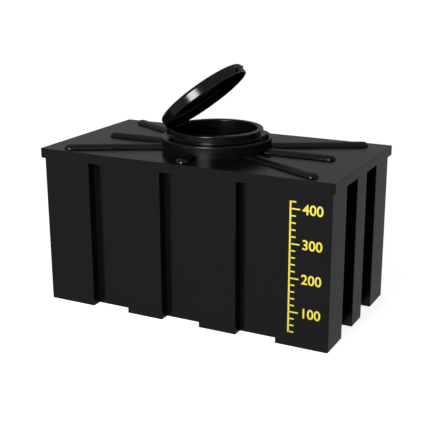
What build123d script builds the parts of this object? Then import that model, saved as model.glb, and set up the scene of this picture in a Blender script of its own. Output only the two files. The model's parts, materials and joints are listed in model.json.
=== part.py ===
from build123d import *
import os
from math import atan2, cos, degrees, hypot, radians, sin

os.makedirs("parts", exist_ok=True)

# A low rectangular water tank in moulded polyethylene, all sizes in millimetres.
# The origin is the centre of the base. X runs along the tank and the front looks towards -Y.

# Outline of the moulding
length = 1280.0
width = 686.0
height = 660.0
wall = 5.0
floor_thickness = 6.0
base_edge_bevel = 1.5
body_corner_radius = 6.0

# Rim round the roof
rim_overhang = 12.0
rim_height = 40.0
rim_corner_radius = 8.0
rim_edge_radius = 2.0
rim_flange = 24.0

# Upright grooves, three on a side and two on an end
groove_depth = 44.0
groove_edge_radius = 2.0
side_groove_width = 168.0
side_corner_width = 214.0
end_groove_width = 122.0
end_groove_pitch = 230.0

# Rounded ribs on the roof, each tip placed by how far it stops short of the roof's edges
rib_width = 56.0
rib_height = 17.0
rib_edge_radius = 12.0
end_rib_inset = 123.0
side_rib_inset = 23.0
corner_rib_end_inset = 88.0
corner_rib_side_inset = 46.0

# Turret, ledge and manway neck
neck_radius = 181.0
ledge_width = 45.0
turret_height = 49.0
turret_edge_bevel = 3.0
neck_height = 33.0
lip_width = 25.0
lip_overhang = 10.0
lip_height = 9.0
lip_edge_bevel = 3.0
bead_width = 5.0
bead_height = 5.0

# Lid, drawn about its open edge and cut to clear the lip
lid_side_gap = 7.0
lid_height = 40.0
lid_draft = 4.0
lid_edge_radius = 11.0
lid_wall = 5.0
lid_seat_gap = 5.0
lid_open_angle = 39.7
ring_side_gap = 10.0
ring_width = 5.0
ring_depth = 9.0

# Hinge
pin_radius = 3.0
pin_bore_clearance = 0.05
pin_run_clearance = 0.08
pin_height = 7.0
pin_end = 2.0
hinge_gap = 7.0
ear_radius = 6.5
ear_thickness = 7.0
knuckle_width = 61.0
knuckle_radius = 6.0
ear_side_gap = 1.0

# Lift tab on the lid and the catch ears that stand either side of it
tab_width = 14.0
tab_length = 22.0
tab_thickness = 7.0
tab_rise = 14.0
tab_droop = 20.0
tab_corner_radius = 4.0
catch_side_gap = 6.0
catch_thickness = 6.0
catch_depth = 15.0
catch_height = 21.0
catch_top_radius = 4.0
catch_edge_inset = 2.0

# Places worked out from the sizes above
body_length = length - 2 * rim_overhang
body_width = width - 2 * rim_overhang
rim_bottom = height - rim_height
side_groove_pitch = body_length / 2 - side_corner_width - side_groove_width / 2
turret_radius = neck_radius + ledge_width
ledge_level = height + turret_height
lip_top = ledge_level + neck_height
lip_radius = neck_radius + lip_overhang
manway_radius = lip_radius - lip_width
lid_radius = lip_radius + lid_side_gap + lid_wall
ring_radius = manway_radius - ring_side_gap
pin_x = -(lid_radius + hinge_gap)
pin_z = ledge_level + pin_height
rim_plane_drop = pin_height - lid_seat_gap


def save(builder, name):
    """Label a finished piece and write it to its own file."""
    builder.part.label = name
    export_step(builder.part, f"parts/{name}.step")


def on_side(side, along, depth):
    """Plan point on one side: along runs left to right from outside, depth runs inwards."""
    half_length = body_length / 2
    half_width = body_width / 2
    if side == "front":
        return (along, -half_width + depth)
    if side == "back":
        return (-along, half_width - depth)
    if side == "right":
        return (half_length - depth, along)
    return (-half_length + depth, -along)


def groove_places(side):
    """Centre and width of each groove on one side, left to right from outside."""
    if side in ("front", "back"):
        return [(n * side_groove_pitch, side_groove_width) for n in (-1, 0, 1)]
    return [(n * end_groove_pitch, end_groove_width) for n in (-0.5, 0.5)]


def side_outline(side):
    """Plan points of one side with its grooves, from its left corner towards its right."""
    half = (body_length if side in ("front", "back") else body_width) / 2
    points = [on_side(side, -half, 0)]
    for centre, mouth in groove_places(side):
        left = centre - mouth / 2
        right = centre + mouth / 2
        points.append(on_side(side, left, 0))
        points.append(on_side(side, left, groove_depth))
        points.append(on_side(side, right, groove_depth))
        points.append(on_side(side, right, 0))
    return points


def is_near(vertex, points):
    """True where a vertex stands on one of the plan points."""
    return any(hypot(vertex.X - x, vertex.Y - y) < 0.01 for x, y in points)


# Plan of the moulding: the grooved outline, and the same outline one wall further in
outline_points = []
corner_points = []
groove_points = []
for side_name in ("front", "right", "back", "left"):
    corner_point, *side_groove_points = side_outline(side_name)
    outline_points += [corner_point] + side_groove_points
    corner_points.append(corner_point)
    groove_points += side_groove_points

with BuildSketch() as outer_plan:
    with BuildLine():
        Polyline(*outline_points, close=True)
    make_face()
    fillet([v for v in outer_plan.vertices() if is_near(v, groove_points)], groove_edge_radius)
    fillet([v for v in outer_plan.vertices() if is_near(v, corner_points)], body_corner_radius)

with BuildSketch() as inner_plan:
    add(outer_plan.sketch)
    offset(amount=-wall, mode=Mode.REPLACE)

with BuildSketch() as wall_plan:
    add(outer_plan.sketch)
    add(inner_plan.sketch, mode=Mode.SUBTRACT)

# Base plate: the floor between the grooves, and a foot under each panel and corner
with BuildPart() as base_plate:
    add(outer_plan.sketch)
    extrude(amount=floor_thickness)
    chamfer(base_plate.faces().sort_by(Axis.Z)[0].edges(), base_edge_bevel)

with BuildPart() as tank_floor:
    Box(
        body_length - 2 * groove_depth,
        body_width - 2 * groove_depth,
        floor_thickness,
        align=(Align.CENTER, Align.CENTER, Align.MIN),
    )
    add(base_plate.part, mode=Mode.INTERSECT)
save(tank_floor, "tank_floor")

# How far a plan region reaches past the wall on either side
region_margin = wall + 2.0


def wall_piece(region):
    """Wall between floor and rim, as far as it lies inside one plan region."""
    with BuildPart() as piece:
        with BuildSketch(Plane.XY.offset(floor_thickness)):
            with BuildLine():
                Polyline(*region, close=True)
            make_face()
            add(wall_plan.sketch, mode=Mode.INTERSECT)
        extrude(amount=rim_bottom - floor_thickness)
    return piece


def standing_wall(region, foot_region):
    """Wall piece with the part of the base plate that lies under it as its foot."""
    with BuildPart() as piece:
        with BuildSketch():
            with BuildLine():
                Polyline(*foot_region, close=True)
            make_face()
        extrude(amount=floor_thickness)
        add(base_plate.part, mode=Mode.INTERSECT)
        add(wall_piece(region).part)
    return piece


def mitre(side, along, direction):
    """Outer and inner end of the cut through a groove's mouth corner."""
    outer = on_side(side, along - direction * region_margin, -region_margin)
    inner = on_side(side, along + direction * region_margin, region_margin)
    return outer, inner


# Raised panels between the grooves
def raised_panel(side, left, right):
    outer_left, inner_left = mitre(side, left, 1)
    outer_right, inner_right = mitre(side, right, -1)
    foot_left = left - groove_edge_radius
    foot_right = right + groove_edge_radius
    foot_region = [
        on_side(side, foot_left, -region_margin),
        on_side(side, foot_right, -region_margin),
        on_side(side, foot_right, groove_depth),
        on_side(side, foot_left, groove_depth),
    ]
    return standing_wall([outer_left, outer_right, inner_right, inner_left], foot_region)


side_panel_edge = side_groove_width / 2
for side_name in ("front", "back"):
    for n, place in ((-1, "left"), (1, "right")):
        low = min(n * side_panel_edge, n * (side_groove_pitch - side_panel_edge))
        high = max(n * side_panel_edge, n * (side_groove_pitch - side_panel_edge))
        save(raised_panel(side_name, low, high), f"panel_{side_name}_{place}")

end_panel_edge = (end_groove_pitch - end_groove_width) / 2
for side_name in ("left", "right"):
    save(raised_panel(side_name, -end_panel_edge, end_panel_edge), f"panel_{side_name}_end")


# Corner posts, each with its share of two sides
corner_reach = body_corner_radius + wall


def corner_post(side, next_side):
    last_centre, last_mouth = groove_places(side)[-1]
    first_centre, first_mouth = groove_places(next_side)[0]
    near_edge = last_centre + last_mouth / 2
    far_edge = first_centre - first_mouth / 2
    near_outer, near_inner = mitre(side, near_edge, 1)
    far_outer, far_inner = mitre(next_side, far_edge, -1)
    half = (body_length if side in ("front", "back") else body_width) / 2
    corner_outer = on_side(side, half + region_margin, -region_margin)
    corner_inner = on_side(side, half - corner_reach, corner_reach)
    foot_region = [
        on_side(side, near_edge - groove_edge_radius, -region_margin),
        corner_outer,
        on_side(next_side, far_edge + groove_edge_radius, -region_margin),
        on_side(next_side, far_edge + groove_edge_radius, groove_depth),
        on_side(side, half - groove_depth, groove_depth),
        on_side(side, near_edge - groove_edge_radius, groove_depth),
    ]
    region = [near_outer, corner_outer, far_outer, far_inner, corner_inner, near_inner]
    return standing_wall(region, foot_region)


save(corner_post("front", "right"), "corner_front_right")
save(corner_post("right", "back"), "corner_back_right")
save(corner_post("back", "left"), "corner_back_left")
save(corner_post("left", "front"), "corner_front_left")


# Grooves: a channel each, closed at its head under the rim
def groove(side, centre, mouth):
    left = centre - mouth / 2
    right = centre + mouth / 2
    outer_left, inner_left = mitre(side, left, -1)
    outer_right, inner_right = mitre(side, right, 1)
    back = groove_depth + region_margin
    back_right = on_side(side, right + region_margin, back)
    back_left = on_side(side, left - region_margin, back)
    with BuildPart() as piece:
        add(wall_piece([outer_left, outer_right, inner_right, back_right, back_left, inner_left]).part)
        with BuildSketch(Plane.XY.offset(rim_bottom)):
            with BuildLine():
                Polyline(
                    on_side(side, left - wall, wall),
                    on_side(side, right + wall, wall),
                    on_side(side, right + wall, groove_depth + wall),
                    on_side(side, left - wall, groove_depth + wall),
                    close=True,
                )
            make_face()
        extrude(amount=wall)
    return piece


for side_name in ("front", "back"):
    order = ("left", "middle", "right") if side_name == "front" else ("right", "middle", "left")
    for (centre, mouth), place in zip(groove_places(side_name), order):
        save(groove(side_name, centre, mouth), f"groove_{side_name}_{place}")
for side_name in ("left", "right"):
    order = ("back", "front") if side_name == "left" else ("front", "back")
    for (centre, mouth), place in zip(groove_places(side_name), order):
        save(groove(side_name, centre, mouth), f"groove_{side_name}_end_{place}")

# Rim: a hollow channel round the roof, cut into four at its corners
with BuildPart() as rim:
    with BuildSketch(Plane.XY.offset(rim_bottom)):
        RectangleRounded(length, width, rim_corner_radius)
    extrude(amount=rim_height)
    fillet(rim.faces().sort_by(Axis.Z)[0].edges() + rim.faces().sort_by(Axis.Z)[-1].edges(), rim_edge_radius)
    with BuildSketch(Plane.XY.offset(rim_bottom + wall)):
        RectangleRounded(length - 2 * wall, width - 2 * wall, rim_corner_radius - wall)
    extrude(amount=rim_height - 2 * wall, mode=Mode.SUBTRACT)
    with BuildSketch(Plane.XY.offset(rim_bottom)):
        RectangleRounded(body_length - 2 * wall, body_width - 2 * wall, body_corner_radius - wall)
    extrude(amount=wall, mode=Mode.SUBTRACT)
    with BuildSketch(Plane.XY.offset(height - wall)):
        Rectangle(length - 2 * rim_flange, width - 2 * rim_flange)
    extrude(amount=wall, mode=Mode.SUBTRACT)


def rim_bar(turn):
    """Quarter of the rim between two corner mitres, for the side that is turned so far round."""
    half_x, half_y = (length / 2, width / 2) if turn % 180 == 0 else (width / 2, length / 2)
    reach = rim_flange + region_margin
    with BuildPart() as piece:
        with BuildSketch(Plane.XY.offset(rim_bottom).rotated((0, 0, turn))):
            with BuildLine():
                Polyline(
                    (-half_x - region_margin, -half_y - region_margin),
                    (half_x + region_margin, -half_y - region_margin),
                    (half_x - reach, -half_y + reach),
                    (-half_x + reach, -half_y + reach),
                    close=True,
                )
            make_face()
        extrude(amount=rim_height)
        add(rim.part, mode=Mode.INTERSECT)
    return piece


for place, turn in (("front", 0), ("right", 90), ("back", 180), ("left", 270)):
    save(rim_bar(turn), f"rim_{place}")

# Roof in two halves round the turret's opening
roof_depth = width / 2 - rim_flange
for place, half_align in (("front", Align.MAX), ("back", Align.MIN)):
    with BuildPart() as roof_half:
        with BuildSketch(Plane.XY.offset(height - wall)):
            Rectangle(length - 2 * rim_flange, roof_depth, align=(Align.CENTER, half_align))
            Circle(turret_radius - wall, mode=Mode.SUBTRACT)
        extrude(amount=wall)
    save(roof_half, f"roof_{place}")

# Ribs: low arched bars that run out from the turret to a domed tip
rib_edge_centre = rib_width / 2 - rib_edge_radius
rib_rise = rib_height - rib_edge_radius
rib_crown_radius = (rib_edge_centre**2 + rib_height**2 - rib_edge_radius**2) / (2 * rib_rise)
rib_edge_turn = degrees(atan2(rib_crown_radius - rib_height, rib_edge_centre))

with BuildSketch() as rib_section:
    with BuildLine():
        near_arc = CenterArc((rib_edge_centre, 0), rib_edge_radius, 0, rib_edge_turn)
        crown_low = rib_height - rib_crown_radius
        CenterArc((0, crown_low), rib_crown_radius, rib_edge_turn, 180 - 2 * rib_edge_turn)
        far_arc = CenterArc((-rib_edge_centre, 0), rib_edge_radius, 180 - rib_edge_turn, rib_edge_turn)
        Line(far_arc @ 1, near_arc @ 0)
    make_face()


def roof_rib(heading, tip):
    """Rib along a heading in degrees, with its tip so far from the centre."""
    run = Vector(cos(radians(heading)), sin(radians(heading)), 0)
    across = Vector(0, 0, 1).cross(run)
    dome_centre = run * (tip - rib_width / 2) + Vector(0, 0, height)
    bar_section = Plane(origin=dome_centre, x_dir=across, z_dir=run)
    with BuildPart() as piece:
        with BuildSketch(bar_section):
            add(rib_section.sketch)
        extrude(amount=-(tip - rib_width / 2))
        with BuildSketch(bar_section):
            add(rib_section.sketch)
            Rectangle(rib_width / 2, rib_height, align=(Align.MAX, Align.MIN), mode=Mode.SUBTRACT)
        revolve(axis=Axis(dome_centre, (0, 0, -1)), revolution_arc=180)
        with BuildSketch(Plane.XY.offset(height)):
            Circle(turret_radius)
        extrude(amount=rib_height, mode=Mode.SUBTRACT)
    return piece


end_rib_tip = length / 2 - end_rib_inset
side_rib_tip = width / 2 - side_rib_inset
corner_rib_x = length / 2 - corner_rib_end_inset
corner_rib_y = width / 2 - corner_rib_side_inset
corner_heading = degrees(atan2(corner_rib_y, corner_rib_x))
corner_rib_tip = hypot(corner_rib_x, corner_rib_y)
with BuildPart() as roof_ribs:
    for half_turn in (0, 180):
        add(roof_rib(half_turn, end_rib_tip).part)
        add(roof_rib(half_turn + corner_heading, corner_rib_tip).part)
        add(roof_rib(half_turn + 90, side_rib_tip).part)
        add(roof_rib(half_turn - corner_heading, corner_rib_tip).part)
save(roof_ribs, "roof_ribs")

# Turret: a round wall, with a flat ledge on it that runs in to the neck
ledge_underside = ledge_level - wall
with BuildPart() as turret:
    with BuildSketch(Plane.XY.offset(height)):
        Circle(turret_radius)
        Circle(turret_radius - wall, mode=Mode.SUBTRACT)
    extrude(amount=ledge_underside - height)
save(turret, "turret")

with BuildPart() as turret_ledge:
    with BuildSketch(Plane.XZ) as ledge_section:
        with Locations((turret_radius, ledge_underside)):
            Rectangle(turret_radius - neck_radius + wall, wall, align=(Align.MAX, Align.MIN))
        ledge_corner = ledge_section.vertices().group_by(Axis.X)[-1].sort_by(Axis.Y)[-1]
        chamfer(ledge_corner, turret_edge_bevel)
    revolve(axis=Axis.Z)
save(turret_ledge, "turret_ledge")

# Neck of the manway with its lip
with BuildPart() as manway_neck:
    with BuildSketch(Plane.XZ) as neck_section:
        with BuildLine():
            Polyline(
                (neck_radius, ledge_level),
                (neck_radius, lip_top - lip_height),
                (lip_radius, lip_top - lip_height),
                (lip_radius, lip_top),
                (manway_radius, lip_top),
                (manway_radius, lip_top - lip_height),
                (neck_radius - wall, lip_top - lip_height),
                (neck_radius - wall, ledge_level),
                close=True,
            )
        make_face()
        chamfer(neck_section.vertices().group_by(Axis.Y)[-1], lip_edge_bevel)
    revolve(axis=Axis.Z)
save(manway_neck, "manway_neck")

# Bead round the foot of the neck
with BuildPart() as neck_bead:
    with BuildSketch(Plane.XZ) as bead_section:
        with BuildLine():
            Polyline(
                (neck_radius, ledge_level),
                (neck_radius + bead_width, ledge_level),
                (neck_radius + bead_width, ledge_level + bead_height / 2),
                (neck_radius, ledge_level + bead_height),
                close=True,
            )
        make_face()
    revolve(axis=Axis.Z)
save(neck_bead, "neck_bead")

# Hinge ears and pin on the ledge
ear_inside = knuckle_width / 2 + ear_side_gap
ear_outside = ear_inside + ear_thickness
pin_section = Plane(origin=(pin_x, 0, pin_z), x_dir=(1, 0, 0), z_dir=(0, -1, 0))

with BuildPart() as hinge_ears:
    with BuildSketch(pin_section.offset(ear_inside), pin_section.offset(-ear_outside)):
        Circle(ear_radius)
        with Locations((0, -pin_height / 2)):
            Rectangle(2 * ear_radius, pin_height)
        Circle(pin_radius + pin_bore_clearance, mode=Mode.SUBTRACT)
    extrude(amount=ear_thickness)
save(hinge_ears, "hinge_ears")

with BuildPart() as hinge_pin:
    with BuildSketch(pin_section):
        Circle(pin_radius)
    extrude(amount=ear_outside + pin_end, both=True)
save(hinge_pin, "hinge_pin")

# Catch ears on the ledge
catch_inside = tab_width / 2 + catch_side_gap
catch_x = turret_radius - catch_edge_inset - catch_depth / 2
catch_section = Plane(origin=(catch_x, 0, ledge_level), x_dir=(1, 0, 0), z_dir=(0, -1, 0))
with BuildPart() as catch_ears:
    with BuildSketch(
        catch_section.offset(catch_inside), catch_section.offset(-catch_inside - catch_thickness)
    ) as catch_profile:
        Rectangle(catch_depth, catch_height, align=(Align.CENTER, Align.MIN))
        fillet(catch_profile.vertices().group_by(Axis.Y)[-1], catch_top_radius)
    extrude(amount=catch_thickness)
save(catch_ears, "catch_ears")

# The lid stands open, turned about the hinge pin
lid_run = Vector(cos(radians(lid_open_angle)), 0, sin(radians(lid_open_angle)))
lid_up = Vector(-sin(radians(lid_open_angle)), 0, cos(radians(lid_open_angle)))
pin_centre = Vector(pin_x, 0, pin_z)
lid_centre = pin_centre + lid_run * (lid_radius + hinge_gap) - lid_up * rim_plane_drop
lid_section = Plane(origin=lid_centre, x_dir=lid_run, z_dir=(0, -1, 0))
lid_axis = Axis(lid_centre, lid_up)
lid_top_radius = lid_radius - lid_draft
hollow_bevel = lid_edge_radius - lid_wall

with BuildPart() as lid_envelope:
    with BuildSketch(lid_section) as envelope_section:
        with BuildLine():
            Polyline(
                (0, 0),
                (lid_radius, 0),
                (lid_top_radius, lid_height),
                (0, lid_height),
                close=True,
            )
        make_face()
        fillet(envelope_section.vertices().group_by(Axis.Y)[-1].sort_by(Axis.X)[-1], lid_edge_radius)
    revolve(axis=lid_axis)

# The lid's flat cap, and the skirt that hangs from it
cap_underside = Plane(origin=lid_centre + lid_up * (lid_height - lid_wall), x_dir=lid_run, z_dir=lid_up)
with BuildPart() as lid:
    add(lid_envelope.part)
    split(bisect_by=cap_underside, keep=Keep.TOP)
save(lid, "lid")

with BuildPart() as lid_skirt:
    add(lid_envelope.part)
    split(bisect_by=cap_underside, keep=Keep.BOTTOM)
    with BuildSketch(lid_section):
        with BuildLine():
            Polyline(
                (0, 0),
                (lid_radius - lid_wall, 0),
                (lid_top_radius - lid_wall, lid_height - lid_wall - hollow_bevel),
                (lid_top_radius - lid_wall - hollow_bevel, lid_height - lid_wall),
                (0, lid_height - lid_wall),
                close=True,
            )
        make_face()
    revolve(axis=lid_axis, mode=Mode.SUBTRACT)
save(lid_skirt, "lid_skirt")

# Ring under the lid that drops just inside the manway
with BuildPart() as lid_ring:
    with BuildSketch(lid_section):
        with Locations((ring_radius - ring_width / 2, lid_height - lid_wall - ring_depth / 2)):
            Rectangle(ring_width, ring_depth)
    revolve(axis=lid_axis)
save(lid_ring, "lid_ring")

# Knuckle that carries the lid on the pin
knuckle_section = Plane(origin=pin_centre, x_dir=lid_run, z_dir=(0, -1, 0))
knuckle_reach = hinge_gap + lid_draft + lid_wall
with BuildPart() as hinge_knuckle:
    with BuildSketch(knuckle_section):
        Circle(knuckle_radius)
        with Locations((knuckle_reach / 2, (knuckle_radius - rim_plane_drop) / 2)):
            Rectangle(knuckle_reach, knuckle_radius + rim_plane_drop)
        Circle(pin_radius + pin_run_clearance, mode=Mode.SUBTRACT)
    extrude(amount=knuckle_width / 2, both=True)
    add(lid_envelope.part, mode=Mode.SUBTRACT)
save(hinge_knuckle, "hinge_knuckle")

# Lift tab on the far side of the lid, drooping towards the catch ears
tab_run = lid_run * cos(radians(tab_droop)) - lid_up * sin(radians(tab_droop))
tab_up = lid_run * sin(radians(tab_droop)) + lid_up * cos(radians(tab_droop))
tab_root = lid_centre + lid_run * lid_top_radius + lid_up * tab_rise
with BuildPart() as lift_tab:
    with BuildSketch(Plane(origin=tab_root, x_dir=tab_run, z_dir=tab_up)) as tab_plan:
        Rectangle(2 * tab_length, tab_width)
        fillet(tab_plan.vertices().group_by(Axis.X)[-1], tab_corner_radius)
    extrude(amount=tab_thickness)
    add(lid_envelope.part, mode=Mode.SUBTRACT)
save(lift_tab, "lift_tab")
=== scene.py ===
"""Finishes the loft water tank: its moulded skin, lid and level scale, the studio and the camera."""

import json
import math

import bmesh
import bpy
from bpy.props import FloatProperty, FloatVectorProperty, IntProperty, PointerProperty
from mathutils import Matrix, Vector


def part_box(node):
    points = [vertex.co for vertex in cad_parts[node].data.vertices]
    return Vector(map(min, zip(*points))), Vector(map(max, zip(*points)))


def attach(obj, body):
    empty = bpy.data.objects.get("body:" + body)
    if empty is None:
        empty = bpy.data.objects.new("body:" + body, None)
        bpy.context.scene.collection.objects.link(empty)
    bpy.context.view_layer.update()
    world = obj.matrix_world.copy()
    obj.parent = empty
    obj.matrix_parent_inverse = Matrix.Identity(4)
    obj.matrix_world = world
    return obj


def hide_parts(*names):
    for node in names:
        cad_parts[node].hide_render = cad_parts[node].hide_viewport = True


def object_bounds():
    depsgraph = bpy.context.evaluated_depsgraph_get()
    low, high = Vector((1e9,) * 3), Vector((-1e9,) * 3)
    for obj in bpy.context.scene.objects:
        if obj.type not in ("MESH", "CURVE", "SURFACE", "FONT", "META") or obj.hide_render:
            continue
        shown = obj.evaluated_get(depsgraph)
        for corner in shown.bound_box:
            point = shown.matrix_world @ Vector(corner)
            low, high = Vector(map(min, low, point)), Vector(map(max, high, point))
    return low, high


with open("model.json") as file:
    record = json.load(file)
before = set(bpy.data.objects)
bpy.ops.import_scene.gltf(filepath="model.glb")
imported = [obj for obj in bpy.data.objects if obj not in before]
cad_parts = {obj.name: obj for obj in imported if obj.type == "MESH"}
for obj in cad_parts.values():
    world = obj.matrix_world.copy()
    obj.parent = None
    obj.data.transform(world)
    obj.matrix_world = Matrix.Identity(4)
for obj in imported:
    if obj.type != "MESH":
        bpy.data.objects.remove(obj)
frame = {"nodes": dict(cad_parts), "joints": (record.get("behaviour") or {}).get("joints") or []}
CAD_LOW, CAD_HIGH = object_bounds()

bl_info = {
    "name": "Loft Water Tank",
    "version": (1, 0, 0),
    "blender": (4, 5, 0),
    "location": "3D View > Sidebar > Water Tank",
    "description": "Builds the moulded skin, lid and level scale of a loft water tank round its frame",
    "category": "Object",
}

# Levels and places read from the frame, in metres
RIM_LOW, RIM_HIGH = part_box("rim_front")
LENGTH = CAD_HIGH.x - CAD_LOW.x
WIDTH = CAD_HIGH.y - CAD_LOW.y
RIM_LEVEL = RIM_LOW.z
ROOF_LEVEL = RIM_HIGH.z
FLOOR_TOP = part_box("tank_floor")[1].z
TURRET_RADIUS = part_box("turret")[1].x
LEDGE_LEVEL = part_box("turret_ledge")[1].z
LIP_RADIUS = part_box("manway_neck")[1].x
LIP_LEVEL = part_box("manway_neck")[1].z
BEAD_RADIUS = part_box("neck_bead")[1].x
BEAD_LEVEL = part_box("neck_bead")[1].z
HINGE = Vector(frame["joints"][0]["pos_m"])

# Smallest rounding that an edge keeps, so that the rings of a skin have as many points each
LEAST_RADIUS = 0.0005
# Angle in degrees past which two faces meet in a sharp edge
CREASE = 32
# How far past a rounding the point stands that keeps the face beyond it flat
SUPPORT = 0.002
FINE_SUPPORT = 0.0005
BEAD_SUPPORT = 0.0003
# How far a rib reaches down into the roof, and into the turret's wall
RIB_SUNK = 0.0005
RIB_ROOT = 0.004
# Spacing of the sections along a rib, and points across each
RIB_STEP = 0.002
RIB_POINTS = 25
# How far the lift tab's root stands off the skirt
TAB_STAND_OFF = 0.001
# Points round a turned piece
ROUND_POINTS = 128
# Vertices closer than this are made one, and a shorter edge than the next is taken out
MERGED = 1e-6
VANISHED = 1e-7
# Radius of the studio's floor
FLOOR_RADIUS = 30.0
# A mirrored ray that left the first face seen has a depth below this; the world counts one more than a surface
WORLD_DEPTH = 2.5
FLOOR_DEPTH = 1.5

SIDES = ("front", "right", "back", "left")
PLACES = ("front_left", "front_right", "back_left", "back_right")
WALL_NODES = (
    ["tank_floor"]
    + [f"corner_{place}" for place in PLACES]
    + [f"panel_{place}" for place in PLACES]
    + ["panel_left_end", "panel_right_end"]
    + [f"groove_{side}_{place}" for side in ("front", "back") for place in ("left", "middle", "right")]
    + [f"groove_{side}_end_{place}" for side in ("left", "right") for place in ("front", "back")]
)
ROOF_NODES = ["roof_front", "roof_back"] + [f"rim_{side}" for side in SIDES]


def hex_to_linear(code):
    """Linear RGBA of an sRGB hex colour."""
    channels = [int(code[n : n + 2], 16) / 255 for n in (1, 3, 5)]
    return tuple(c / 12.92 if c <= 0.04045 else ((c + 0.055) / 1.055) ** 2.4 for c in channels) + (1.0,)


def length_property(name, description, metres):
    """A size in metres that a user may change."""
    return FloatProperty(name=name, description=description, default=metres, min=0.0, unit="LENGTH", precision=4)


def angle_property(name, description, degrees):
    """An angle that a user may change."""
    return FloatProperty(name=name, description=description, default=math.radians(degrees), unit="ROTATION")


def place_property(name, description, place):
    """A place in metres that a user may change."""
    return FloatVectorProperty(
        name=name, description=description, default=place, unit="LENGTH", subtype="TRANSLATION", precision=3
    )


def share_property(name, description, share):
    """A share from 0 to 1 that a user may change."""
    return FloatProperty(name=name, description=description, default=share, min=0.0, max=1.0, subtype="FACTOR")


def level_property(name, description, level, **settings):
    """A brightness or another amount from 0 up that a user may change."""
    return FloatProperty(name=name, description=description, default=level, min=0.0, **settings)


def colour_property(name, description, code):
    """A colour that a user may change, from its sRGB hex value."""
    return FloatVectorProperty(
        name=name, description=description, default=hex_to_linear(code), size=4, min=0.0, max=1.0, subtype="COLOR"
    )


class TankSizes(bpy.types.PropertyGroup):
    """Sizes of the moulded tank."""

    wall: length_property("Wall", "Thickness of the moulded wall", 0.005)
    corner_radius: length_property("Corner radius", "Rounding of the body's upright corners", 0.006)
    base_radius: length_property("Base radius", "Rounding where the walls meet the base", 0.0015)
    groove_depth: length_property("Groove depth", "How far the grooves are set back", 0.044)
    groove_edge: length_property("Groove edge radius", "Rounding of the grooves' outer upright edges", 0.002)
    groove_root: length_property("Groove root radius", "Rounding at the back of the grooves", 0.001)
    side_groove_width: length_property("Side groove width", "Width of a groove on a long side", 0.168)
    side_groove_pitch: length_property("Side groove pitch", "Spacing of the grooves on a long side", 0.330)
    end_groove_width: length_property("End groove width", "Width of a groove on an end", 0.122)
    end_groove_pitch: length_property("End groove pitch", "Spacing of the grooves on an end", 0.230)
    rim_overhang: length_property("Rim overhang", "How far the rim stands out from the walls", 0.012)
    rim_corner: length_property("Rim corner radius", "Rounding of the rim's upright corners", 0.008)
    rim_edge: length_property("Rim edge radius", "Rounding of the rim's edges", 0.002)
    rib_width: length_property("Rib width", "Width of a roof rib", 0.051)
    rib_height: length_property("Rib height", "Height of a roof rib", 0.017)
    end_rib_inset: length_property("End rib inset", "Tip of an end rib to the roof's edge", 0.123)
    side_rib_inset: length_property("Side rib inset", "Tip of a side rib to the roof's edge", 0.023)
    corner_rib_end_inset: length_property("Corner rib end inset", "Corner rib's tip to the roof's end", 0.088)
    corner_rib_side_inset: length_property("Corner rib side inset", "Corner rib's tip to the roof's side", 0.046)
    turret_edge: length_property("Turret edge radius", "Rounding of the turret's shoulder", 0.005)
    neck_radius: length_property("Neck radius", "Outside radius of the manway neck", 0.181)
    neck_edge: length_property("Neck edge radius", "Rounding where the neck meets its lip", 0.002)
    bead_edge: length_property("Bead edge radius", "Rounding of the bead at the neck's foot", 0.003)
    lip_width: length_property("Lip width", "Width of the lip round the manway", 0.025)
    lip_height: length_property("Lip height", "Height of the lip round the manway", 0.009)
    lip_edge: length_property("Lip edge radius", "Rounding of the manway lip", 0.004)


class LidSizes(bpy.types.PropertyGroup):
    """Sizes of the lid, drawn about the centre of its open edge."""

    radius: length_property("Radius", "Outside radius at the open edge", 0.198)
    height: length_property("Height", "Height from the open edge to the top", 0.042)
    draft: length_property("Draft", "How much narrower the top is than the open edge", 0.0005)
    edge_radius: length_property("Edge radius", "Rounding between the skirt and the top", 0.011)
    rim_radius: length_property("Rim radius", "Rounding of the skirt's open edge and of the ring", 0.0015)
    wall: length_property("Wall", "Thickness of the lid", 0.005)
    hinge_gap: length_property("Hinge gap", "Skirt to the middle of the hinge pin", 0.012)
    pin_drop: length_property("Pin drop", "Open edge to the middle of the hinge pin", 0.002)
    open_angle: angle_property("Open angle", "How far the lid stands open", 39.7)
    ring_radius: length_property("Ring radius", "Outside radius of the ring under the lid", 0.156)
    ring_width: length_property("Ring width", "Thickness of the ring under the lid", 0.005)
    ring_depth: length_property("Ring depth", "How far the ring hangs from the lid", 0.009)
    tab_length: length_property("Tab length", "How far the lift tab stands out from the lid", 0.022)
    tab_root: length_property("Tab root", "How far the lift tab reaches into the skirt", 0.005)
    tab_width: length_property("Tab width", "Width of the lift tab", 0.014)
    tab_thickness: length_property("Tab thickness", "Thickness of the lift tab", 0.007)
    tab_rise: length_property("Tab rise", "Open edge to the underside of the lift tab's root", 0.014)
    tab_corner: length_property("Tab corner radius", "Rounding of the lift tab's corners", 0.004)
    tab_edge: length_property("Tab edge radius", "Rounding of the lift tab's edges", 0.0012)
    tab_droop: angle_property("Tab droop", "How far the lift tab slopes down", 20)


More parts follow.
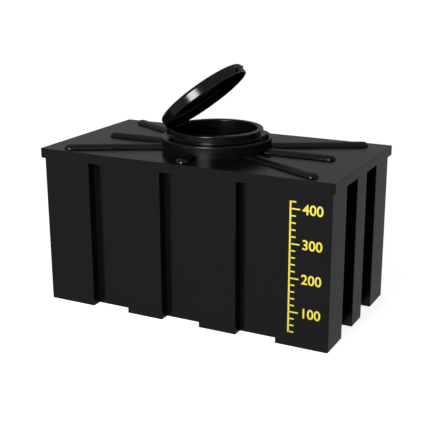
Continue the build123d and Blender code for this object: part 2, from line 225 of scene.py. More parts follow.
class ScaleSizes(bpy.types.PropertyGroup):
    """Sizes of the printed level scale."""

    left: length_property("Left", "Upright line, right of the middle of the tank", 0.468)
    line_width: length_property("Line width", "Width of the upright line", 0.007)
    tick_height: length_property("Tick height", "Thickness of a tick", 0.0055)
    long_tick: length_property("Long tick", "Length of a tick with a figure", 0.038)
    short_tick: length_property("Short tick", "Length of a tick without a figure", 0.022)
    figure_height: length_property("Figure size", "Font size of the figures", 0.054)
    figure_gap: length_property("Figure gap", "Gap between a long tick and its figure", 0.009)
    figure_weight: length_property("Figure weight", "How much the figures' strokes are thickened", 0.0009)
    film: length_property("Film", "Thickness of the printed film", 0.0003)
    first: IntProperty(name="First", description="Litres at the lowest tick", default=40)
    last: IntProperty(name="Last", description="Litres at the highest tick", default=420)
    step: IntProperty(name="Step", description="Litres from tick to tick", default=20)
    figure_step: IntProperty(name="Figure step", description="Litres from figure to figure", default=100)


class TankFinish(bpy.types.PropertyGroup):
    """Colours and surface of the plastic and the print."""

    plastic: colour_property("Plastic", "Carbon black polyethylene", "#070708")
    scuff: colour_property("Scuff", "Handling marks in the plastic", "#101011")
    print_ink: colour_property("Print", "Ink of the level scale", "#F1E050")
    tank_roughness: share_property("Tank roughness", "Roughness of the tank", 0.20)
    lid_roughness: share_property("Lid roughness", "Roughness of the lid", 0.17)


class StudioSettings(bpy.types.PropertyGroup):
    """Camera, lamp and surroundings."""

    lens: level_property("Lens", "Focal length in millimetres", 77.72, unit="CAMERA")
    camera_place: place_property("Camera", "Place of the camera", (1.697, -3.334, 1.506))
    yaw: angle_property("Yaw", "Camera heading left of +Y", 27.11)
    pitch: angle_property("Pitch", "Camera tilt downwards", 16.95)
    roll: angle_property("Roll", "Camera roll", -0.21)
    room_level: level_property("Room level", "Level of the room as the plastic mirrors it", 0.215)
    floor_level: level_property("Floor level", "Level of the floor as the plastic mirrors it", 0.245)
    floor_lift: level_property("Floor lift", "Glow that brings the pale floor up to white", 0.85)
    lamp_place: place_property("Lamp", "Place of the softbox", (0.02, -2.72, 1.32))
    lamp_width: length_property("Lamp width", "Width of the softbox", 1.04)
    lamp_height: length_property("Lamp height", "Height of the softbox", 0.90)
    lamp_soft: length_property("Lamp softness", "How far the softbox's edges fade", 0.26)
    lamp_power: level_property("Lamp power", "Power of the softbox", 70.0, unit="POWER")
    lamp_glow: level_property("Lamp glow", "Brightness of the softbox as the plastic mirrors it", 19.0)
    passed_on: share_property("Passed on", "Share of the light that one face may pass on to another", 0.2)


# Mesh making


def rounded_loop(points, radii, steps=5, support=SUPPORT):
    """A closed plane outline with each corner turned into an arc, and a support point beyond each arc."""
    loop = []
    count = len(points)
    for n, (point, radius) in enumerate(zip(points, radii)):
        here = Vector(point)
        to_last = (Vector(points[n - 1]) - here).normalized()
        to_next = (Vector(points[(n + 1) % count]) - here).normalized()
        if radius <= 0:
            loop.append(here)
            continue
        half_angle = to_last.angle(to_next) / 2
        tangent = radius / math.tan(half_angle)
        centre = here + (to_last + to_next).normalized() * radius / math.sin(half_angle)
        start = here + to_last * tangent - centre
        turn = math.pi - 2 * half_angle
        if to_last.cross(to_next) > 0:
            turn = -turn
        loop.append(here + to_last * (tangent + support))
        for step in range(steps + 1):
            loop.append(centre + Matrix.Rotation(turn * step / steps, 2) @ start)
        loop.append(here + to_next * (tangent + support))
    return loop


def side_place(side, along, depth):
    """Plan point on a side: along runs left to right from outside, depth runs inwards from the rim's edge."""
    if side == "front":
        return (along, -WIDTH / 2 + depth)
    if side == "right":
        return (LENGTH / 2 - depth, along)
    if side == "back":
        return (-along, WIDTH / 2 - depth)
    return (-LENGTH / 2 + depth, -along)


def grooved_outline(sizes, inset):
    """The tank's plan outline with its grooves, moved inwards by inset."""
    points, radii = [], []
    for side in SIDES:
        long_side = side in ("front", "back")
        half = (LENGTH if long_side else WIDTH) / 2 - sizes.rim_overhang - inset
        face = sizes.rim_overhang + inset
        back = face + sizes.groove_depth
        pitch = sizes.side_groove_pitch if long_side else sizes.end_groove_pitch
        mouth = sizes.side_groove_width if long_side else sizes.end_groove_width
        points.append(side_place(side, -half, face))
        radii.append(sizes.corner_radius - inset)
        for place in (-1, 0, 1) if long_side else (-0.5, 0.5):
            left = place * pitch - mouth / 2 - inset
            right = place * pitch + mouth / 2 + inset
            points += [side_place(side, left, face), side_place(side, left, back)]
            points += [side_place(side, right, back), side_place(side, right, face)]
            mouth_radius = max(sizes.groove_edge - inset, LEAST_RADIUS)
            root_radius = sizes.groove_root + inset
            radii += [mouth_radius, root_radius, root_radius, mouth_radius]
    return rounded_loop(points, radii)


def rim_outline(sizes, inset):
    """Rounded rectangle of the rim, moved inwards by inset."""
    half_x, half_y = LENGTH / 2 - inset, WIDTH / 2 - inset
    corners = [(-half_x, -half_y), (half_x, -half_y), (half_x, half_y), (-half_x, half_y)]
    return rounded_loop(corners, [max(sizes.rim_corner - inset, LEAST_RADIUS)] * 4)


def rounding(radius, steps):
    """Inset and rise of the points of a quarter round that turns from flat to upright."""
    angles = [math.pi / 2 * step / steps for step in range(steps + 1)]
    return [(radius * (1 - math.sin(angle)), radius * (1 - math.cos(angle))) for angle in angles]


def circle_outline(radius):
    """Points round a circle."""
    angles = [math.tau * n / ROUND_POINTS for n in range(ROUND_POINTS)]
    return [Vector((radius * math.cos(angle), radius * math.sin(angle))) for angle in angles]


def add_ring(mesh, outline, level):
    """Vertices of a plan outline at one level."""
    return [mesh.verts.new((p.x, p.y, level)) for p in outline]


def bridge(mesh, lower, upper):
    """Quads between two rings with as many vertices."""
    count = len(lower)
    for n in range(count):
        m = (n + 1) % count
        mesh.faces.new((lower[n], lower[m], upper[m], upper[n]))


def fill_between(mesh, outer, inner=()):
    """Flat faces inside one ring, or between it and a smaller one."""
    edges = []
    for ring in (outer, inner):
        for n, vertex in enumerate(ring):
            pair = (vertex, ring[(n + 1) % len(ring)])
            edges.append(mesh.edges.get(pair) or mesh.edges.new(pair))
    bmesh.ops.triangle_fill(mesh, edges=edges, use_beauty=True)


def evaluated_mesh(piece):
    """A plain mesh of an object with its modifiers applied."""
    graph = bpy.context.evaluated_depsgraph_get()
    graph.update()
    return bpy.data.meshes.new_from_object(
        piece.evaluated_get(graph), preserve_all_data_layers=True, depsgraph=graph
    )


def finish_piece(mesh, name, body, material):
    """An object from a closed bmesh, smooth up to the crease angle with its large faces flat, on its body."""
    bmesh.ops.remove_doubles(mesh, verts=mesh.verts, dist=MERGED)
    bmesh.ops.recalc_face_normals(mesh, faces=mesh.faces)
    data = bpy.data.meshes.new(name)
    mesh.to_mesh(data)
    mesh.free()
    data.shade_smooth()
    data.set_sharp_from_angle(angle=math.radians(CREASE))
    data.materials.append(material)
    piece = bpy.data.objects.new(name, data)
    bpy.context.scene.collection.objects.link(piece)
    shading = piece.modifiers.new("flat_faces", "WEIGHTED_NORMAL")
    shading.keep_sharp = True
    piece.data = evaluated_mesh(piece)
    piece.modifiers.clear()
    bpy.data.meshes.remove(data)
    piece.data.name = name
    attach(piece, body)
    return piece


def turned_mesh(profile, place=Matrix.Identity(4)):
    """A closed solid of revolution about Z from a closed profile of radius and level."""
    mesh = bmesh.new()
    rings = [add_ring(mesh, circle_outline(p.x), p.y) for p in profile]
    for n, ring in enumerate(rings):
        bridge(mesh, ring, rings[(n + 1) % len(rings)])
    bmesh.ops.transform(mesh, matrix=place, verts=mesh.verts)
    bmesh.ops.remove_doubles(mesh, verts=mesh.verts, dist=MERGED)
    bmesh.ops.dissolve_degenerate(mesh, edges=mesh.edges, dist=VANISHED)
    return mesh


# Materials


def add_node(tree, kind, inputs=None, **settings):
    """A node with its settings, and each input set to a value or linked to a socket."""
    node = tree.nodes.new(kind)
    for name, value in settings.items():
        setattr(node, name, value)
    for name, value in (inputs or {}).items():
        if isinstance(value, bpy.types.NodeSocket):
            tree.links.new(value, node.inputs[name])
        else:
            node.inputs[name].default_value = value
    return node


def empty_tree(owner):
    """The node tree of a new material or world, with nothing in it."""
    owner.use_nodes = True
    owner.node_tree.nodes.clear()
    return owner.node_tree


def moulded_polyethylene(name, roughness, peel_mm):
    """Moulded polyethylene, black with carbon: a closed, softly shining skin.

    The mould leaves a faint orange peel, peel_mm across. Handling leaves dull smears about
    200 mm wide, which show only where the plastic mirrors something pale. The carbon's
    specks are drawn 11 mm wide, far coarser than they are, so that they show.
    """
    found = bpy.data.materials.get(name)
    if found:
        return found
    finish = bpy.context.scene.tank_finish
    material = bpy.data.materials.new(name)
    tree = empty_tree(material)
    place = add_node(tree, "ShaderNodeTexCoord").outputs["Object"]
    wide = {"Vector": place, "Scale": 5.0, "Detail": 4.0, "Roughness": 0.6}
    smears = add_node(tree, "ShaderNodeTexNoise", wide)
    specks = add_node(tree, "ShaderNodeTexNoise", {"Vector": place, "Scale": 90.0, "Detail": 2.0})
    peel = add_node(tree, "ShaderNodeTexNoise", {"Vector": place, "Scale": 1000 / peel_mm, "Detail": 1.0})
    # 6 and 7 are the node's colours going in, and 2 the one coming out
    mixed = {"Factor": specks.outputs["Fac"], 6: finish.plastic, 7: finish.scuff}
    shade = add_node(tree, "ShaderNodeMix", mixed, data_type="RGBA").outputs[2]
    spread = {"From Min": 0.3, "From Max": 0.7, "To Min": roughness - 0.02, "To Max": roughness + 0.03}
    dulling = add_node(tree, "ShaderNodeMapRange", {"Value": smears.outputs["Fac"], **spread})
    relief = {"Height": peel.outputs["Fac"], "Strength": 0.05, "Distance": 0.0004}
    bump = add_node(tree, "ShaderNodeBump", relief)
    skin = {"Base Color": shade, "Roughness": dulling.outputs["Result"], "Normal": bump.outputs["Normal"]}
    plastic = add_node(tree, "ShaderNodeBsdfPrincipled", {"IOR": 1.5, **skin})
    add_node(tree, "ShaderNodeOutputMaterial", {"Surface": plastic.outputs["BSDF"]})
    return material


def tank_plastic():
    """Finish of the rotationally moulded tank."""
    return moulded_polyethylene("rotomoulded_polyethylene", bpy.context.scene.tank_finish.tank_roughness, 4.0)


def lid_plastic():
    """Finish of the injection moulded lid, smoother than the tank."""
    return moulded_polyethylene("moulded_lid_polyethylene", bpy.context.scene.tank_finish.lid_roughness, 3.0)


def drawn_nylon():
    """Extruded nylon rod: the die leaves fine lines along it that dull its shine a little.

    They are drawn 0.7 mm apart, coarser than the die's, so that they show.
    """
    finish = bpy.context.scene.tank_finish
    material = bpy.data.materials.new("extruded_nylon")
    tree = empty_tree(material)
    place = add_node(tree, "ShaderNodeTexCoord").outputs["Object"]
    along = add_node(tree, "ShaderNodeMapping", {"Vector": place, "Scale": (1500, 12, 1500)})
    fine = {"Vector": along.outputs["Vector"], "Scale": 1.0, "Detail": 2.0}
    lines = add_node(tree, "ShaderNodeTexNoise", fine)
    rough = add_node(tree, "ShaderNodeMapRange", {"Value": lines.outputs["Fac"], "To Min": 0.3, "To Max": 0.45})
    skin = {"Base Color": finish.scuff, "Roughness": rough.outputs["Result"], "IOR": 1.53}
    nylon = add_node(tree, "ShaderNodeBsdfPrincipled", skin)
    add_node(tree, "ShaderNodeOutputMaterial", {"Surface": nylon.outputs["BSDF"]})
    return material


def screen_ink():
    """Screen-printed polyurethane ink: a matt film of colour, a little uneven from the screen's mesh.

    The unevenness is drawn 2.5 mm wide, coarser than the mesh, so that it shows.
    """
    finish = bpy.context.scene.tank_finish
    material = bpy.data.materials.new("screen_printed_ink")
    tree = empty_tree(material)
    place = add_node(tree, "ShaderNodeTexCoord").outputs["Object"]
    grain = add_node(tree, "ShaderNodeTexNoise", {"Vector": place, "Scale": 400.0, "Detail": 3.0})
    rough = add_node(tree, "ShaderNodeMapRange", {"Value": grain.outputs["Fac"], "To Min": 0.45, "To Max": 0.6})
    skin = {"Base Color": finish.print_ink, "Roughness": rough.outputs["Result"], "IOR": 1.5}
    ink = add_node(tree, "ShaderNodeBsdfPrincipled", skin)
    add_node(tree, "ShaderNodeOutputMaterial", {"Surface": ink.outputs["BSDF"]})
    return material


# Geometry Nodes


def add_inputs(tree, inputs):
    """Named inputs of a node group, each with its kind of socket and its default."""
    for name, (kind, value) in inputs.items():
        socket = tree.interface.new_socket(name=name, in_out="INPUT", socket_type="NodeSocket" + kind)
        if value is not None:
            socket.default_value = value


def plain_mesh(piece, tree, values):
    """The result of a node group on an object, as a plain mesh; values are set by socket identifier."""
    modifier = piece.modifiers.new("nodes", "NODES")
    modifier.node_group = tree
    identifiers = {item.name: item.identifier for item in tree.interface.items_tree if item.in_out == "INPUT"}
    for name, value in values.items():
        modifier[identifiers[name]] = value
    data = evaluated_mesh(piece)
    base = piece.data
    bpy.data.objects.remove(piece)
    bpy.data.meshes.remove(base)
    return data


def rib_tree():
    """Sweeps a half-oval along each spine, with a domed end where the spine ends."""
    tree = bpy.data.node_groups.new("roof_rib_sweep", "GeometryNodeTree")
    inputs = {
        "Spines": ("Geometry", None),
        "Width": ("Float", 0.051),
        "Height": ("Float", 0.017),
        "Material": ("Material", None),
    }
    add_inputs(tree, inputs)
    tree.interface.new_socket(name="Ribs", in_out="OUTPUT", socket_type="NodeSocketGeometry")
    given = add_node(tree, "NodeGroupInput").outputs
    spine = add_node(tree, "GeometryNodeMeshToCurve", {"Mesh": given["Spines"]})
    points = {"Curve": spine.outputs["Curve"], "Length": RIB_STEP}
    fine = add_node(tree, "GeometryNodeResampleCurve", points, mode="LENGTH")
    half = add_node(tree, "ShaderNodeMath", {0: given["Width"], 1: 0.5}, operation="MULTIPLY").outputs[0]
    run = add_node(tree, "GeometryNodeSplineLength").outputs["Length"]
    done = add_node(tree, "GeometryNodeSplineParameter").outputs["Length"]
    left = add_node(tree, "ShaderNodeMath", {0: run, 1: done}, operation="SUBTRACT").outputs[0]
    whole = {0: left, 1: half}
    share = add_node(tree, "ShaderNodeMath", whole, operation="DIVIDE", use_clamp=True).outputs[0]
    past = add_node(tree, "ShaderNodeMath", {0: 1.0, 1: share}, operation="SUBTRACT").outputs[0]
    square = add_node(tree, "ShaderNodeMath", {0: past, 1: past}, operation="MULTIPLY").outputs[0]
    rest = add_node(tree, "ShaderNodeMath", {0: 1.0, 1: square}, operation="SUBTRACT").outputs[0]
    dome = add_node(tree, "ShaderNodeMath", {0: rest}, operation="SQRT").outputs[0]
    upright = add_node(tree, "GeometryNodeSetCurveNormal", {"Curve": fine.outputs["Curve"]}, mode="Z_UP")
    half_circle = {"Resolution": RIB_POINTS, "Radius": 1.0, "Start Angle": 0.0, "Sweep Angle": math.pi}
    arc = add_node(tree, "GeometryNodeCurveArc", half_circle, mode="RADIUS")
    rise = add_node(tree, "ShaderNodeMath", {0: given["Height"], 1: -1.0}, operation="MULTIPLY").outputs[0]
    oval = add_node(tree, "ShaderNodeCombineXYZ", {"X": half, "Y": rise, "Z": 1.0})
    shape = {"Geometry": arc.outputs["Curve"], "Scale": oval.outputs["Vector"]}
    section = add_node(tree, "GeometryNodeTransform", shape).outputs["Geometry"]
    closed = add_node(tree, "GeometryNodeSetSplineCyclic", {"Geometry": section, "Cyclic": True})
    sweep = {
        "Curve": upright.outputs["Curve"],
        "Profile Curve": closed.outputs["Geometry"],
        "Scale": dome,
        "Fill Caps": True,
    }
    swept = add_node(tree, "GeometryNodeCurveToMesh", sweep)
    joined = add_node(tree, "GeometryNodeRealizeInstances", {"Geometry": swept.outputs["Mesh"]})
    painted = add_node(
        tree, "GeometryNodeSetMaterial", {"Geometry": joined.outputs["Geometry"], "Material": given["Material"]}
    )
    add_node(tree, "NodeGroupOutput", {"Ribs": painted.outputs["Geometry"]})
    return tree


def tick_tree():
    """A column of ticks, every so many of them a long one."""
    tree = bpy.data.node_groups.new("scale_ticks", "GeometryNodeTree")
    inputs = {
        "Count": ("Int", 20),
        "Spacing": ("Float", 0.027),
        "Long Every": ("Int", 5),
        "Long Shift": ("Int", 2),
        "Long": ("Float", 0.038),
        "Short": ("Float", 0.022),
        "Height": ("Float", 0.005),
        "Film": ("Float", 0.0003),
        "Material": ("Material", None),
    }
    add_inputs(tree, inputs)
    tree.interface.new_socket(name="Ticks", in_out="OUTPUT", socket_type="NodeSocketGeometry")
    given = add_node(tree, "NodeGroupInput").outputs
    rise = add_node(tree, "ShaderNodeCombineXYZ", {"Z": given["Spacing"]})
    line = {"Count": given["Count"], "Offset": rise.outputs["Vector"]}
    column = add_node(tree, "GeometryNodeMeshLine", line).outputs["Mesh"]
    number = add_node(tree, "GeometryNodeInputIndex").outputs["Index"]
    shifted = add_node(tree, "ShaderNodeMath", {0: number, 1: given["Long Shift"]}, operation="ADD").outputs[0]
    left = add_node(tree, "ShaderNodeMath", {0: shifted, 1: given["Long Every"]}, operation="MODULO").outputs[0]
    short = add_node(tree, "ShaderNodeMath", {0: left, 1: 0.5}, operation="GREATER_THAN").outputs[0]
    lengths = {"Value": short, "To Min": given["Long"], "To Max": given["Short"]}
    run = add_node(tree, "ShaderNodeMapRange", lengths).outputs["Result"]
    size = add_node(tree, "ShaderNodeCombineXYZ", {"X": run, "Y": given["Film"], "Z": given["Height"]})
    block = add_node(tree, "GeometryNodeMeshCube", {"Size": (1, 1, 1)}).outputs["Mesh"]
    tick = add_node(tree, "GeometryNodeTransform", {"Geometry": block, "Translation": (0.5, 0, 0)})
    copies = {"Points": column, "Instance": tick.outputs["Geometry"], "Scale": size.outputs["Vector"]}
    ticks = add_node(tree, "GeometryNodeInstanceOnPoints", copies)
    joined = add_node(tree, "GeometryNodeRealizeInstances", {"Geometry": ticks.outputs["Instances"]})
    painted = add_node(
        tree, "GeometryNodeSetMaterial", {"Geometry": joined.outputs["Geometry"], "Material": given["Material"]}
    )
    add_node(tree, "NodeGroupOutput", {"Ticks": painted.outputs["Geometry"]})
    return tree


# Pieces


class TANK_OT_walls(bpy.types.Operator):
    """Grooved walls and base in one moulded skin"""

    bl_idname = "tank.walls"
    bl_label = "Walls and base"

    def execute(self, context):
        sizes = context.scene.tank_sizes
        mesh = bmesh.new()
        base = rounding(sizes.base_radius, steps=4)
        rings = [add_ring(mesh, grooved_outline(sizes, inset), level) for inset, level in base]
        rings.append(add_ring(mesh, grooved_outline(sizes, 0), RIM_LEVEL))
        rings.append(add_ring(mesh, grooved_outline(sizes, sizes.wall), RIM_LEVEL))
        rings.append(add_ring(mesh, grooved_outline(sizes, sizes.wall), FLOOR_TOP))
        for lower, upper in zip(rings, rings[1:]):
            bridge(mesh, lower, upper)
        fill_between(mesh, rings[0])
        fill_between(mesh, rings[-1])
        piece = finish_piece(mesh, "tank_walls", "tank", tank_plastic())
        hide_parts(*WALL_NODES)
        return {"FINISHED"}


class TANK_OT_roof(bpy.types.Operator):
    """Roof panel and overhanging rim"""

    bl_idname = "tank.roof"
    bl_label = "Roof and rim"

    def execute(self, context):
        sizes = context.scene.tank_sizes
        edge = sizes.rim_edge
        wall = sizes.wall
        mesh = bmesh.new()
        arc = rounding(edge, steps=5)
        outside = [(edge + SUPPORT, RIM_LEVEL)]
        outside += [(inset, RIM_LEVEL + rise) for inset, rise in arc]
        outside += [(inset, ROOF_LEVEL - rise) for inset, rise in reversed(arc)]
        outside.append((edge + SUPPORT, ROOF_LEVEL))
        rings = [add_ring(mesh, rim_outline(sizes, inset), level) for inset, level in outside]
        for lower, upper in zip(rings, rings[1:]):
            bridge(mesh, lower, upper)
        hole = TURRET_RADIUS - wall
        hole_top = add_ring(mesh, circle_outline(hole), ROOF_LEVEL)
        hole_low = add_ring(mesh, circle_outline(hole), ROOF_LEVEL - wall)
        inner_top = add_ring(mesh, rim_outline(sizes, wall), ROOF_LEVEL - wall)
        inner_low = add_ring(mesh, rim_outline(sizes, wall), RIM_LEVEL + wall)
        shelf_high = add_ring(mesh, grooved_outline(sizes, wall), RIM_LEVEL + wall)
        shelf_low = add_ring(mesh, grooved_outline(sizes, wall), RIM_LEVEL)
        bridge(mesh, hole_low, hole_top)
        bridge(mesh, inner_low, inner_top)
        bridge(mesh, shelf_low, shelf_high)
        fill_between(mesh, rings[-1], hole_top)
        fill_between(mesh, inner_top, hole_low)
        fill_between(mesh, inner_low, shelf_high)
        fill_between(mesh, rings[0], shelf_low)
        piece = finish_piece(mesh, "roof_and_rim", "tank", tank_plastic())
        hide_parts(*ROOF_NODES)
        return {"FINISHED"}


class TANK_OT_ribs(bpy.types.Operator):
    """Rounded ribs that run out from the turret"""

    bl_idname = "tank.ribs"
    bl_label = "Roof ribs"

    def execute(self, context):
        sizes = context.scene.tank_sizes
        corner_tip = (LENGTH / 2 - sizes.corner_rib_end_inset, WIDTH / 2 - sizes.corner_rib_side_inset)
        quarter = [(LENGTH / 2 - sizes.end_rib_inset, 0), corner_tip, (0, WIDTH / 2 - sizes.side_rib_inset)]
        tips = {(across * x, along * y) for x, y in quarter for across in (-1, 1) for along in (-1, 1)}
        ends = []
        for tip in sorted(tips):
            tip = Vector(tip)
            for end in (tip.normalized() * (TURRET_RADIUS - RIB_ROOT), tip):
                ends.append((end.x, end.y, ROOF_LEVEL - RIB_SUNK))
        spines = bpy.data.meshes.new("rib_spines")
        spines.from_pydata(ends, [(n, n + 1) for n in range(0, len(ends), 2)], [])
        base = bpy.data.objects.new("rib_spines", spines)
        context.scene.collection.objects.link(base)
        values = {"Width": sizes.rib_width, "Height": sizes.rib_height, "Material": tank_plastic()}
        data = plain_mesh(base, rib_tree(), values)
        mesh = bmesh.new()
        mesh.from_mesh(data)
        bpy.data.meshes.remove(data)
        piece = finish_piece(mesh, "rounded_roof_ribs", "tank", tank_plastic())
        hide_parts("roof_ribs")
        return {"FINISHED"}


class TANK_OT_turret(bpy.types.Operator):
    """Round turret with its flat ledge, the manway neck and the bead at its foot"""

    bl_idname = "tank.turret"
    bl_label = "Turret and neck"

    def execute(self, context):
        sizes = context.scene.tank_sizes
        wall = sizes.wall
        neck = sizes.neck_radius
        turret = rounded_loop(
            [
                (TURRET_RADIUS, ROOF_LEVEL),
                (TURRET_RADIUS, LEDGE_LEVEL),
                (neck - wall, LEDGE_LEVEL),
                (neck - wall, LEDGE_LEVEL - wall),
                (TURRET_RADIUS - wall, LEDGE_LEVEL - wall),
                (TURRET_RADIUS - wall, ROOF_LEVEL),
            ],
            [0, sizes.turret_edge, 0, 0, 0, 0],
        )
        piece = finish_piece(turned_mesh(turret), "turret_skin", "tank", tank_plastic())
        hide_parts("turret", "turret_ledge")
        inside = LIP_RADIUS - sizes.lip_width
        lip_foot = LIP_LEVEL - sizes.lip_height
        edge = sizes.neck_edge
        neck_profile = rounded_loop(
            [
                (neck, LEDGE_LEVEL),
                (neck, lip_foot),
                (LIP_RADIUS, lip_foot),
                (LIP_RADIUS, LIP_LEVEL),
                (inside, LIP_LEVEL),
                (inside, lip_foot),
                (neck - wall, lip_foot),
                (neck - wall, LEDGE_LEVEL),
            ],
            [0, edge, edge, sizes.lip_edge, sizes.lip_edge, edge, 0, 0],
            support=FINE_SUPPORT,
        )
        piece = finish_piece(turned_mesh(neck_profile), "manway_lip", "tank", tank_plastic())
        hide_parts("manway_neck")
        bead = rounded_loop(
            [(neck, LEDGE_LEVEL), (BEAD_RADIUS, LEDGE_LEVEL), (BEAD_RADIUS, BEAD_LEVEL), (neck, BEAD_LEVEL)],
            [0, 0, sizes.bead_edge, 0],
            support=BEAD_SUPPORT,
        )
        piece = finish_piece(turned_mesh(bead), "neck_foot_bead", "tank", tank_plastic())
        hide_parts("neck_bead")
        return {"FINISHED"}


def lid_place(lid):
    """Matrix that takes the shut lid, drawn about the centre of its open edge, to where it stands open."""
    turn = Matrix.Rotation(-lid.open_angle, 4, "Y")
    to_pin = Matrix.Translation((lid.radius + lid.hinge_gap, 0, -lid.pin_drop))
    return Matrix.Translation(HINGE) @ turn @ to_pin


def tab_mesh(lid):
    """Flat lift tab with rounded corners and edges, lying along +X from its root."""
    mesh = bmesh.new()
    arc = rounding(lid.tab_edge, steps=4)
    rings = []
    for inset, level in arc + [(inset, lid.tab_thickness - rise) for inset, rise in reversed(arc)]:
        half = lid.tab_width / 2 - inset
        reach = lid.tab_length - inset
        corner = lid.tab_corner - inset
        plan = [(-lid.tab_root, -half), (reach, -half), (reach, half), (-lid.tab_root, half)]
        rings.append(add_ring(mesh, rounded_loop(plan, [0, corner, corner, 0], support=FINE_SUPPORT), level))
    for lower, upper in zip(rings, rings[1:]):
        bridge(mesh, lower, upper)
    fill_between(mesh, rings[0])
    fill_between(mesh, rings[-1])
    return mesh


class TANK_OT_lid(bpy.types.Operator):
    """Round lid, standing open, with its lift tab and the ring on its underside"""

    bl_idname = "tank.lid"
    bl_label = "Lid"

    def execute(self, context):
        lid = context.scene.tank_lid
        place = lid_place(lid)
        top = lid.radius - lid.draft
        profile = rounded_loop(
            [
                (lid.radius, 0),
                (top, lid.height),
                (0, lid.height),
                (0, lid.height - lid.wall),
                (top - lid.wall, lid.height - lid.wall),
                (lid.radius - lid.wall, 0),
            ],
            [lid.rim_radius, lid.edge_radius, 0, 0, lid.edge_radius - lid.wall, lid.rim_radius],
            support=FINE_SUPPORT,
        )
        shell = turned_mesh(profile, place=place)
        piece = finish_piece(shell, "lid_cap", "lid", lid_plastic())
        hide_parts("lid", "lid_skirt")
        high = lid.height - lid.wall
        low = high - lid.ring_depth
        inside = lid.ring_radius - lid.ring_width
        ring = rounded_loop(
            [(inside, low), (lid.ring_radius, low), (lid.ring_radius, high), (inside, high)],
            [lid.rim_radius, lid.rim_radius, 0, 0],
            support=BEAD_SUPPORT,
        )
        piece = finish_piece(turned_mesh(ring, place=place), "lid_seal_ring", "lid", lid_plastic())
        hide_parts("lid_ring")
        root = Matrix.Translation((lid.radius + TAB_STAND_OFF, 0, lid.tab_rise))
        droop = Matrix.Rotation(lid.tab_droop, 4, "Y")
        tab = tab_mesh(lid)
        bmesh.ops.transform(tab, matrix=place @ root @ droop, verts=tab.verts)
        piece = finish_piece(tab, "rounded_lift_tab", "lid", lid_plastic())
        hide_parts("lift_tab")
        return {"FINISHED"}


class TANK_OT_fittings(bpy.types.Operator):
    """Finish of the hinge and the catch ears"""

    bl_idname = "tank.fittings"
    bl_label = "Hinge and catch"

    def execute(self, context):
        for node in ("hinge_ears", "catch_ears"):
            dress_node(node, tank_plastic())
        dress_node("hinge_knuckle", lid_plastic())
        dress_node("hinge_pin", drawn_nylon())
        return {"FINISHED"}


def dress_node(name, material):
    """Gives a node of the frame its finish."""
    data = frame["nodes"][name].data
    data.materials.clear()
    data.materials.append(material)


class TANK_OT_scale(bpy.types.Operator):
    """Level scale printed on the right-hand front panel, with plain figures in litres"""

    bl_idname = "tank.scale"
    bl_label = "Level scale"

    def execute(self, context):
        scale = context.scene.tank_scale
        sizes = context.scene.tank_sizes
        per_litre = 0.001 / plan_area(grooved_outline(sizes, sizes.wall))
        face = -WIDTH / 2 + sizes.rim_overhang
        place = Matrix.Translation((scale.left, face, FLOOR_TOP))
        ink = screen_ink()
        base = bpy.data.objects.new("scale_ticks", bpy.data.meshes.new("scale_ticks"))
        context.scene.collection.objects.link(base)
        long_every = scale.figure_step // scale.step
        values = {
            "Count": (scale.last - scale.first) // scale.step + 1,
            "Spacing": scale.step * per_litre,
            "Long Every": long_every,
            "Long Shift": scale.first // scale.step % long_every,
            "Long": scale.long_tick,
            "Short": scale.short_tick,
            "Height": scale.tick_height,
            "Film": 2 * scale.film,
            "Material": ink,
        }
        ticks = plain_mesh(base, tick_tree(), values)
        mesh = bmesh.new()
        add_mesh(mesh, ticks, Matrix.Translation((0, 0, scale.first * per_litre)))
        low, high = scale.first * per_litre, scale.last * per_litre
        bar = Matrix.Translation((0, 0, (low + high) / 2)) @ Matrix.Diagonal(
            (scale.line_width, 2 * scale.film, high - low + scale.tick_height, 1)
        )
        bmesh.ops.create_cube(mesh, size=1, matrix=bar)
        for litres in range(scale.figure_step, scale.last + 1, scale.figure_step):
            upright = Matrix.Rotation(math.pi / 2, 4, "X")
            beside = Matrix.Translation((scale.long_tick + scale.figure_gap, 0, litres * per_litre))
            add_mesh(mesh, figure_mesh(str(litres), scale), beside @ upright)
        bmesh.ops.transform(mesh, matrix=place, verts=mesh.verts)
        finish_piece(mesh, "level_scale", "tank", ink)
        return {"FINISHED"}


def plan_area(outline):
    """Area inside a plan outline."""
    return abs(sum(p.cross(q) for p, q in zip(outline, outline[1:] + outline[:1]))) / 2


def figure_mesh(text, scale):
    """Figures as a thin film, centred on the line they stand beside."""
    curve = bpy.data.curves.new("figures", "FONT")
    curve.body = text
    curve.size = scale.figure_height
    curve.extrude = scale.film
    curve.offset = scale.figure_weight
    curve.align_y = "CENTER"
    figures = bpy.data.objects.new("figures", curve)
    data = bpy.data.meshes.new_from_object(figures)
    bpy.data.objects.remove(figures)
    bpy.data.curves.remove(curve)
    return data


def add_mesh(mesh, data, place):
    """Adds a mesh to a bmesh at a place, and removes it."""
    data.transform(place)
    mesh.from_mesh(data)
    bpy.data.meshes.remove(data)


# Stage


class TANK_OT_stage(bpy.types.Operator):
    """Pale floor, white surround, softbox and camera"""

    bl_idname = "tank.stage"
    bl_label = "Studio"

    def execute(self, context):
        studio = context.scene.tank_studio
        context.scene.view_settings.view_transform = "Standard"
        make_world(context, studio)
        make_floor(context, studio)
        make_lamp(context, studio)
        make_camera(context, studio)
        return {"FINISHED"}


